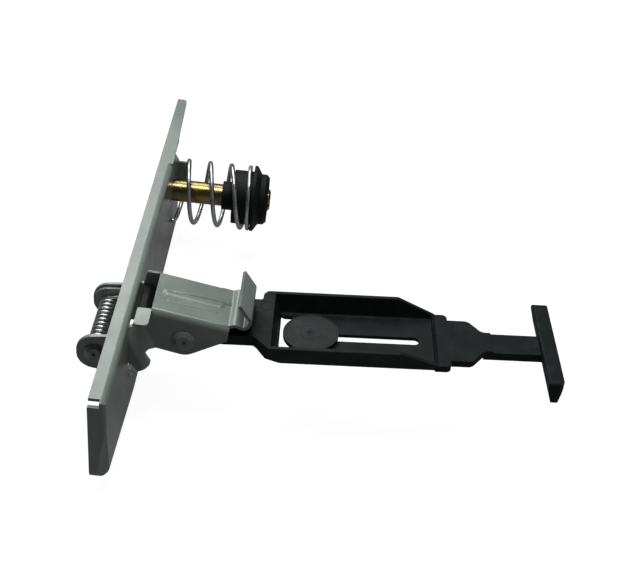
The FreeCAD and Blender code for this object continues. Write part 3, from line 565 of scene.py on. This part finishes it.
def half_round(width: float, height: float, buried: float, steps: int = 7) -> tuple[np.ndarray, np.ndarray]:
    """Outline a low ridge: height (1 - s^2) over s from -1 to 1 across, closed a little below zero.

    Args:
        width: metres across.
        height: metres above the surface it lies on.
        buried: metres below that surface.
        steps: points over the top.

    Returns:
        The outline's places across and its heights.
    """
    share = np.linspace(-1.0, 1.0, steps)
    across = np.concatenate((share, share[::-1][:1], share[:1])) * width / 2
    heights = np.concatenate((height * (1.0 - share ** 2), [-buried, -buried]))
    return across, heights


def ridge_along(start: np.ndarray, end: np.ndarray, lift: np.ndarray, outline: tuple[np.ndarray, np.ndarray],
                steps: int = 40) -> np.ndarray:
    """Carry a low ridge along a straight line, fading out at both ends.

    At share t of the way, the outline's heights are multiplied by the square root of sin(pi t).

    Args:
        start: the line's first point, in metres.
        end: the line's last point.
        lift: the surface's unit normal.
        outline: the ridge's places across and its heights.
        steps: points along the line.

    Returns:
        Points shaped steps, outline points, 3.
    """
    across, heights = outline
    share = np.linspace(0.02, 0.98, steps)[:, None]
    fade = np.sqrt(np.sin(np.pi * share))
    run = end - start
    side = np.cross(lift, run / np.linalg.norm(run))
    middle = start + share * run
    raised = np.where(heights > 0.0, fade * heights, heights)
    return middle[:, None, :] + across[None, :, None] * side + raised[..., None] * lift


@dataclass(frozen=True)
class Ring:
    """A thin raised ring on a level face of the handle or the button.

    Attributes:
        name: the piece's name.
        place: its centre in the handle's frame, in metres.
        radius: its middle radius.
        width: metres across the ridge.
    """

    name: str
    place: Point
    radius: float
    width: float = 0.55 * MM


@dataclass(frozen=True)
class HandleMarks:
    """What moulding left on the handle and its button: thin rings, in the handle's tilted frame.

    Attributes:
        origin: the handle's frame, at its rivet.
        tilt: how far the handle's frame is turned about Y, in radians.
        height: how far a ring stands up.
        buried: how deep its foot lies in the surface.
        deck_level: the deck's top face.
        shoulder_level: the shoulder's top face.
        stem_level: the stem's top face.
        button_level: the button's top face, on the tray's floor.
        button_along: the button's place along the handle at rest.
    """

    origin: Point = (0.0074, -0.1003, 0.0200)
    tilt: float = math.radians(4.2)
    height: float = 0.09 * MM
    buried: float = 0.1 * MM
    deck_level: float = -10.9 * MM
    shoulder_level: float = -18.5 * MM
    stem_level: float = -19.3 * MM
    button_level: float = -17.7 * MM
    button_along: float = 78.3 * MM

    def carry(self, points: np.ndarray) -> np.ndarray:
        """Turn points of the handle's frame about Y by the tilt and move them to its origin.

        Args:
            points: metres in the handle's frame, shaped ..., 3.

        Returns:
            The same points in the latch's frame.
        """
        cosine, sine = math.cos(self.tilt), math.sin(self.tilt)
        turn = np.array(((cosine, 0.0, sine), (0.0, 1.0, 0.0), (-sine, 0.0, cosine)))
        return points @ turn + np.asarray(self.origin)

    def raise_rings(self, rings: Sequence[Ring], body: Body, material: bpy.types.Material) -> None:
        """Lay rings on one body.

        Args:
            rings: their names, places and sizes.
            body: what they move with.
            material: their finish.
        """
        for ring in rings:
            across, heights = half_round(ring.width, self.height, self.buried)
            points = self.carry(turned_ring(ring.place, ring.radius + across, heights))
            lay(ring.name, points, True, body, material)

    def build(self, plastic: bpy.types.Material, face: bpy.types.Material) -> None:
        """Lay the rings on the deck, the shoulder, the stem and the guide button.

        Args:
            plastic: the handle's plastic.
            face: the button's plastic.
        """
        button = (self.button_along, 0.0, self.button_level)
        self.raise_rings((
            Ring("deck_mark_far", (57.9 * MM, 9.8 * MM, self.deck_level), 3.1 * MM),
            Ring("deck_mark_near", (58.0 * MM, -8.0 * MM, self.deck_level), 3.1 * MM),
            Ring("shoulder_mark", (145.5 * MM, 0.4 * MM, self.shoulder_level), 4.0 * MM),
            Ring("stem_mark", (178.0 * MM, 0.4 * MM, self.stem_level), 4.0 * MM),
        ), Body.HANDLE, plastic)
        self.raise_rings((
            Ring("button_ring_inner", button, 2.3 * MM, 0.4 * MM),
            Ring("button_ring_middle", button, 5.0 * MM, 0.5 * MM),
            Ring("button_ring_outer", button, 11.6 * MM, 0.9 * MM),
        ), Body.BUTTON, face)


@dataclass(frozen=True)
class PressedLine:
    """A raised line on the hook's web.

    Attributes:
        name: the piece's name.
        first: its first point, along and across the web.
        last: its last point, along and across the web.
        width: metres across.
        height: metres above the web.
    """

    name: str
    first: Span
    last: Span
    width: float
    height: float


@dataclass(frozen=True)
class HookPressing:
    """The safety hook: its flange trimmed clean behind the flare, and the pressed lines on its web.

    Attributes:
        start: the web's top face, above the pivot's line.
        slope: how steeply the web falls, in radians.
        lines: what is pressed up out of the web.
        buried: how deep a line's foot lies in the web.
        merge: points nearer than this are one.
        sharp: the least angle of a sharp edge, in radians.
        face_weight: how far large faces lead the shading, in percent.
        crease: where the crease crosses height zero, along x.
        crease_lean: how far the crease leans from upright, in radians.
        inner: the near flange's inner face, along y.
        flare_slant: how far the flare steps out for each metre towards the plate.
        trim_depth: how far the wedge goes out from the inner face.
        trim_reach: how far the wedge goes in from the inner face.
        trim_levels: the wedge's bottom and top.
        trim_back: the wedge's end towards the plate.
    """

    start: Point = (0.0163, -0.1003, 0.0236)
    slope: float = math.radians(10.3)
    lines: tuple[PressedLine, ...] = (
        PressedLine("web_rib", (2.0 * MM, 1.0 * MM), (34.6 * MM, 2.6 * MM), 3.0 * MM, 1.25 * MM),
        PressedLine("web_line", (5.2 * MM, -5.45 * MM), (29.0 * MM, -5.55 * MM), 1.5 * MM, 0.3 * MM),
    )
    buried: float = 0.3 * MM
    merge: float = 0.001 * MM
    sharp: float = math.radians(32.0)
    face_weight: int = 90
    crease: float = 17.6 * MM
    crease_lean: float = math.radians(22.7)
    inner: float = -113.4 * MM
    flare_slant: float = 6.5 / 7.2
    trim_depth: float = 1.75 * MM
    trim_reach: float = 0.1 * MM
    trim_levels: Span = (-11.0 * MM, 9.5 * MM)
    trim_back: float = 8.0 * MM

    def on_web(self, place: Span) -> np.ndarray:
        """Find a point of the web's top face.

        Args:
            place: metres down the web from its start, and towards the far side of its middle.

        Returns:
            The point in the latch's frame.
        """
        along, across = place
        step = (along * math.cos(self.slope), across, -along * math.sin(self.slope))
        return np.array(self.start) + np.array(step)

    def cutter(self) -> bpy.types.Object:
        """Make the wedge between the flare's inner face and the flange, which the press leaves open.

        Its plan is a pentagon, moved along x by minus height times the tangent of the crease's lean.

        Returns:
            The wedge.
        """
        reached = self.inner + self.trim_reach
        cleared = self.inner - self.trim_depth
        slant_end = self.crease - self.trim_depth / self.flare_slant
        plan = np.array(((self.crease, self.inner), (self.crease - self.trim_reach, reached),
                         (self.trim_back, reached), (self.trim_back, cleared), (slant_end, cleared)))
        count = len(plan)
        levels = np.array(self.trim_levels)[:, None]
        lean = math.tan(self.crease_lean) * levels
        both = (2, count)
        corners = (plan[None, :, 0] - lean, np.broadcast_to(plan[:, 1], both), np.broadcast_to(levels, both))
        ring = np.arange(count)
        following = np.roll(ring, -1)
        walls = np.stack((ring, following, following + count, ring + count), axis=-1).tolist()
        faces = walls + [ring[::-1].tolist(), (ring + count).tolist()]
        return stand("hook_trim", closed_mesh("hook_trim", np.stack(corners, axis=-1), faces))

    def trim(self, material: bpy.types.Material) -> None:
        """Replace the CAD hook by a merged copy without the wedge.

        Args:
            material: the hook's paint.
        """
        mesh = frame["nodes"]["hook_lever"].data.copy()
        mesh.name = "hook_pressing"
        rework(mesh, lambda shell: bmesh.ops.remove_doubles(shell, verts=shell.verts[:], dist=self.merge))
        smooth(mesh)
        mesh.set_sharp_from_angle(angle=self.sharp)
        piece = stand("hook_pressing", mesh)
        wedge = self.cutter()
        cut = piece.modifiers.new("trim", "BOOLEAN")
        cut.operation = "DIFFERENCE"
        cut.solver = "EXACT"
        cut.object = wedge
        weighted = piece.modifiers.new("flat_faces_lead", "WEIGHTED_NORMAL")
        weighted.keep_sharp = True
        weighted.weight = self.face_weight
        graph = bpy.context.evaluated_depsgraph_get()
        result = bpy.data.meshes.new_from_object(piece.evaluated_get(graph))
        piece.modifiers.clear()
        piece.data = result
        bpy.data.objects.remove(wedge)
        join_in(piece, Body.HOOK, material)
        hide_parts("hook_lever")

    def build(self, material: bpy.types.Material) -> None:
        """Trim the hook and lay the pressed lines on its web.

        Args:
            material: the hook's paint.
        """
        self.trim(material)
        lift = np.array((math.sin(self.slope), 0.0, math.cos(self.slope)))
        for line in self.lines:
            outline = half_round(line.width, line.height, self.buried)
            points = ridge_along(self.on_web(line.first), self.on_web(line.last), lift, outline)
            lay(line.name, points, False, Body.HOOK, material)


@dataclass(frozen=True)
class StrikerSpring:
    """The compression spring between the plate and the cup's rim; the real one shortens as the cup slides,
    while this coil keeps its length.

    Attributes:
        axis: the point where the striker's axis meets the plate.
        radius: the coil's middle radius.
        wire: the wire's radius.
        first_angle: the wire's place round the axis at the plate, in radians from the lowest point.
        half_turns: the wire's place along x at each half turn, in millimetres.
        joint: the joint that shortens the real spring; not used.
        length: the free spring's length; not used.
        travel: how far the joint goes; not used.
        steps_per_turn: steps of the helix in a turn.
        even_parts: the places are evened out over a turn divided by this, both ways.
        sides: points round the wire.
    """

    axis: Point = (0.0074, 0.0200, 0.0)
    radius: float = 16.8 * MM
    wire: float = 1.2 * MM
    first_angle: float = math.radians(-37.0)
    half_turns: tuple[float, ...] = (8.6, 14.4, 20.0, 25.9, 33.2, 37.4, 45.9, 48.3, 49.7)
    joint: str = "cup_slide"
    length: float = 43.5 * MM
    travel: float = 26.0 * MM
    steps_per_turn: int = 60
    even_parts: int = 8
    sides: int = 16

    def centre_line(self) -> tuple[np.ndarray, np.ndarray]:
        """Work out the helix (x(t), R sin a, -R cos a), with a = first angle + 2 pi t.

        The place x(t) goes straight from one half turn's place to the next, and is then evened out
        by a running mean.

        Returns:
            The helix's points, and at each the unit vector away from the axis.
        """
        halves = len(self.half_turns) - 1
        turns = halves / 2
        share = np.linspace(0.0, turns, int(turns * self.steps_per_turn) + 1)
        along = np.interp(share, np.arange(halves + 1) / 2, self.half_turns) * MM
        reach = self.steps_per_turn // self.even_parts
        window = 2 * reach + 1
        padded = np.pad(along, reach, mode="reflect", reflect_type="odd")
        along = np.convolve(padded, np.ones(window) / window, mode="valid")
        angle = self.first_angle + 2.0 * np.pi * share
        radial = np.stack((np.zeros_like(angle), np.sin(angle), -np.cos(angle)), axis=-1)
        middle = radial * self.radius + np.array((0.0, self.axis[1], self.axis[2]))
        middle[:, 0] += along
        return middle, radial

    def surface(self) -> np.ndarray:
        """Work out the wire's skin: a circle of the wire's radius carried along the helix.

        The circle stands on the radial direction and on the tangent's cross product with it.

        Returns:
            Points shaped steps, sides, 3.
        """
        middle, radial = self.centre_line()
        tangent = np.gradient(middle, axis=0)
        across = np.cross(tangent, radial)
        across /= np.linalg.norm(across, axis=-1, keepdims=True)
        turn = np.linspace(0.0, 2.0 * np.pi, self.sides, endpoint=False)[None, :, None]
        circle = np.cos(turn) * radial[:, None, :] + np.sin(turn) * across[:, None, :]
        return middle[:, None, :] + self.wire * circle

    def build(self, material: bpy.types.Material) -> None:
        """Make the coil, in place of the CAD spring, riding on the plate at its full length.

        Args:
            material: the wire's plating.
        """
        coil = lay("striker_coil", self.surface(), False, Body.PLATE, material)
        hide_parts("striker_spring")
        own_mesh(coil)


@dataclass(frozen=True)
class Lamp:
    """A square soft lamp.

    Attributes:
        name: the lamp's name.
        place: where it hangs.
        target: what it points at.
        side: its side, in metres.
        power: its power, in watts.
    """

    name: str
    place: Point
    target: Point
    side: float
    power: float

    def hang(self) -> None:
        """Put the lamp in the scene and point it."""
        data = bpy.data.lights.new(self.name, "AREA")
        data.shape = "SQUARE"
        data.size = self.side
        data.energy = self.power
        lamp = stand(self.name, data)
        lamp.location = self.place
        lamp.rotation_mode = "QUATERNION"
        lamp.rotation_quaternion = (Vector(self.target) - Vector(self.place)).to_track_quat("-Z", "Y")


@dataclass(frozen=True)
class Studio:
    """The camera, the pale floor and the soft light.

    Attributes:
        position: where the photograph was taken from.
        right: the picture's right, as a direction.
        up: the picture's top, as a direction.
        focal_px: the focal length, in the photograph's pixels.
        photo_width_px: the photograph's width.
        sensor_mm: the camera's sensor width.
        clip: the nearest and the farthest that the camera sees.
        floor_gap: how far the floor lies under the latch.
        floor_half: half the floor's side.
        floor_albedo: the floor's own grey, which takes the shadow.
        floor_glow: what the camera sees on top of that, where 1 is white.
        floor_roughness: the floor's roughness.
        floor_specular: the floor's specular level.
        glossy_share: how much of that glow glossy surfaces mirror.
        ambient: the even light from all round.
        lamps: the lamps, the strongest behind and above the plate.
    """

    position: Point = (0.0687, -0.4679, 0.3101)
    right: Point = (0.9937, 0.0292, 0.109)
    up: Point = (-0.1037, 0.6005, 0.7925)
    focal_px: float = 1043.6
    photo_width_px: float = 640.0
    sensor_mm: float = 36.0
    clip: Span = (0.01, 20.0)
    floor_gap: float = 0.2 * MM
    floor_half: float = 3.0
    floor_albedo: float = 0.16
    floor_glow: float = 0.95
    floor_roughness: float = 0.9
    floor_specular: float = 0.2
    glossy_share: float = 0.12
    ambient: float = 0.05
    lamps: tuple[Lamp, ...] = (
        Lamp("key", (-0.55, 1.1, 1.35), (0.02, -0.05, 0.0), 1.1, 15.5),
        Lamp("overhead", (0.05, 0.0, 1.2), (0.02, -0.05, 0.0), 0.42, 6.6),
        Lamp("front_fill", (0.9, -0.6, 0.5), (0.05, -0.05, 0.0), 0.6, 0.35),
    )

    def build(self) -> None:
        """Make everything that isn't part of the latch."""
        self.set_camera()
        self.lay_floor()
        for lamp in self.lamps:
            lamp.hang()
        self.light_world()
        bpy.context.scene.view_settings.view_transform = "Standard"

    def set_camera(self) -> None:
        """Set the camera where the photograph was taken, from its axes and its focal length."""
        data = bpy.data.cameras.new("photo_camera")
        data.sensor_width = self.sensor_mm
        data.lens = self.focal_px / self.photo_width_px * self.sensor_mm
        data.clip_start, data.clip_end = self.clip
        right = Vector(self.right).normalized()
        back = right.cross(Vector(self.up)).normalized()
        turn = Matrix((right, back.cross(right), back)).transposed().to_4x4()
        camera = stand("photo_camera", data)
        camera.matrix_world = Matrix.Translation(self.position) @ turn
        bpy.context.scene.camera = camera

    def lay_floor(self) -> None:
        """Lay a pale floor just under the latch, with a glow that the camera and glass see in full."""
        height = CAD_BOX[0].z - self.floor_gap
        corners = np.array(((-1.0, -1.0), (1.0, -1.0), (1.0, 1.0), (-1.0, 1.0))) * self.floor_half
        mesh = bpy.data.meshes.new("floor")
        mesh.from_pydata(np.column_stack((corners, np.full(4, height))).tolist(), [], [(0, 1, 2, 3)])
        floor = stand("floor", mesh)
        nodes = NodeTree("pale_floor")
        grey = (self.floor_albedo, self.floor_albedo, self.floor_albedo, 1.0)
        fill(nodes.shader, Base_Color=grey, Emission_Color=WHITE)
        fill(nodes.shader, Roughness=self.floor_roughness, Specular_IOR_Level=self.floor_specular)
        path = nodes.add("LightPath")
        seen = nodes.add("Math", operation="MAXIMUM")
        nodes.link(path.outputs["Is Camera Ray"], seen.inputs[0])
        nodes.link(path.outputs["Is Transmission Ray"], seen.inputs[1])
        mirrored = nodes.add("Math", operation="MULTIPLY_ADD")
        nodes.link(path.outputs["Is Glossy Ray"], mirrored.inputs[0])
        mirrored.inputs[1].default_value = self.glossy_share
        nodes.link(seen.outputs[0], mirrored.inputs[2])
        glow = nodes.add("Math", operation="MULTIPLY")
        nodes.link(mirrored.outputs[0], glow.inputs[0])
        glow.inputs[1].default_value = self.floor_glow
        nodes.link(glow.outputs[0], nodes.shader.inputs["Emission Strength"])
        floor.data.materials.append(nodes.material)

    def light_world(self) -> None:
        """Surround the latch with an even glow that the camera sees as white."""
        world = bpy.data.worlds.new("studio")
        bpy.context.scene.world = world
        world.use_nodes = True
        tree = world.node_tree
        background = tree.nodes["Background"]
        fill(background, Color=WHITE)
        path = tree.nodes.new("ShaderNodeLightPath")
        strength = tree.nodes.new("ShaderNodeMapRange")
        fill(strength, To_Min=self.ambient, To_Max=1.0)
        tree.links.new(path.outputs["Is Camera Ray"], strength.inputs["Value"])
        tree.links.new(strength.outputs["Result"], background.inputs["Strength"])


def main() -> None:
    """Dress every part and light the scene."""
    logging.basicConfig(level=logging.INFO, format="%(name)s %(message)s")
    paint = GlossPaint().material()
    zinc = BrightZinc().material()
    yellow = YellowZinc().material()
    plastic = MouldedPlastic().material()
    finishes = {Slot.PAINT: paint, Slot.ZINC: zinc, Slot.YELLOW_ZINC: yellow, Slot.PLASTIC: plastic}
    for part in frame["record"]["subparts"]:
        dress(part["node"], finishes[Slot(part["material_slot"])])
    worn = MouldedPlastic("worn_plastic", (0.022, 0.029, 0.028), (0.05, 0.062, 0.06), (0.42, 0.66))
    button_plastic = worn.material()
    dress("guide_button", button_plastic)
    aged = BrightZinc("aged_zinc", (0.24, 0.25, 0.26), (0.10, 0.11, 0.11), (0.32, 0.52))
    dress("pivot_pin", aged.material())
    HandleMarks().build(plastic, button_plastic)
    HookPressing().build(paint)
    StrikerSpring().build(zinc)
    Studio().build()


if __name__ == "__main__":
    main()
